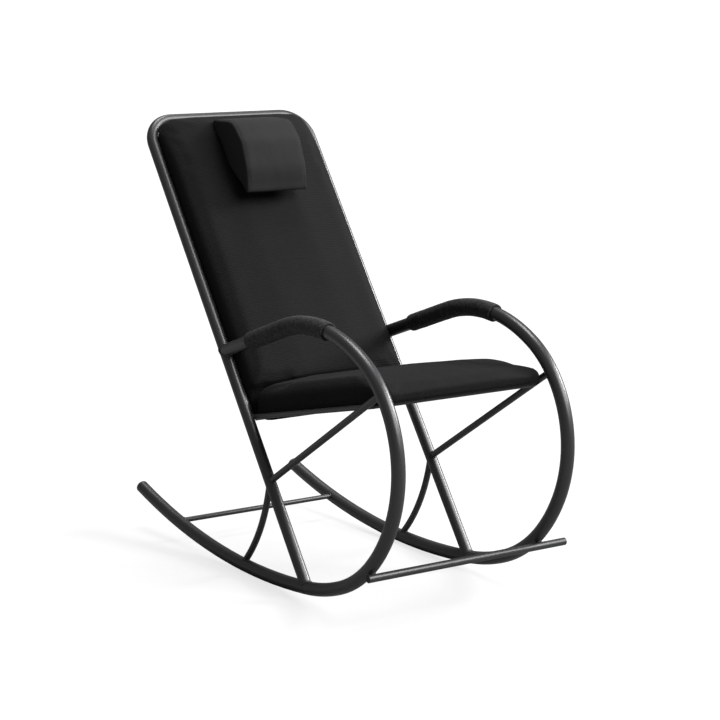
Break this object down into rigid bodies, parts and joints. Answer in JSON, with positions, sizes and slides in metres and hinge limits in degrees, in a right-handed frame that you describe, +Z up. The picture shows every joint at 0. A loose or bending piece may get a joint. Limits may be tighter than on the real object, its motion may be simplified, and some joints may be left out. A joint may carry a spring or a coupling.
{
  "type": "camp rocking chair",
  "caption": "Rocking chair with bent-tube side loops, foam arm grips, a tall reclined padded back with headrest, and a padded seat.",
  "frame": {"origin": "on the floor, midway between the two side loops, at the line where the rockers touch it", "axes": "+Z up, the chair faces -Y, +X towards the sitter's left hand"},
  "size_m": [0.5655, 1.2007, 1.08],
  "materials": {
    "frame_paint": "satin dark grey powder coat on steel tube",
    "end_plug": "black moulded plastic",
    "grip_foam": "black closed-cell foam with a fine sponge surface",
    "zinc_screw": "zinc plated",
    "plywood": "black-stained plywood",
    "cushion_foam": "soft open-cell foam",
    "mesh_cloth": "fine black woven mesh cloth"
  },
  "bodies": {
    "root": {"side_loop_right": "frame_paint", "side_loop_left": "frame_paint", "back_frame": "frame_paint", "diagonal_brace_right": "frame_paint", "diagonal_brace_left": "frame_paint", "curved_brace_right": "frame_paint", "curved_brace_left": "frame_paint", "rear_cross_rod": "frame_paint", "front_foot_bar": "frame_paint", "foot_bar_caps": "end_plug", "rocker_end_caps": "end_plug", "seat_rail_right": "frame_paint", "seat_rail_left": "frame_paint", "seat_front_rail": "frame_paint", "seat_rear_rail": "frame_paint", "arm_grip_right": "grip_foam", "arm_grip_left": "grip_foam", "seat_tabs": "frame_paint", "seat_screws": "zinc_screw", "seat_board": "plywood", "seat_foam": "cushion_foam", "seat_cover": "mesh_cloth", "back_tabs": "frame_paint", "back_screws": "zinc_screw", "back_board": "plywood", "back_foam": "cushion_foam", "back_cover": "mesh_cloth", "headrest_foam": "cushion_foam", "headrest_cover": "mesh_cloth"}
  },
  "joints": []
}
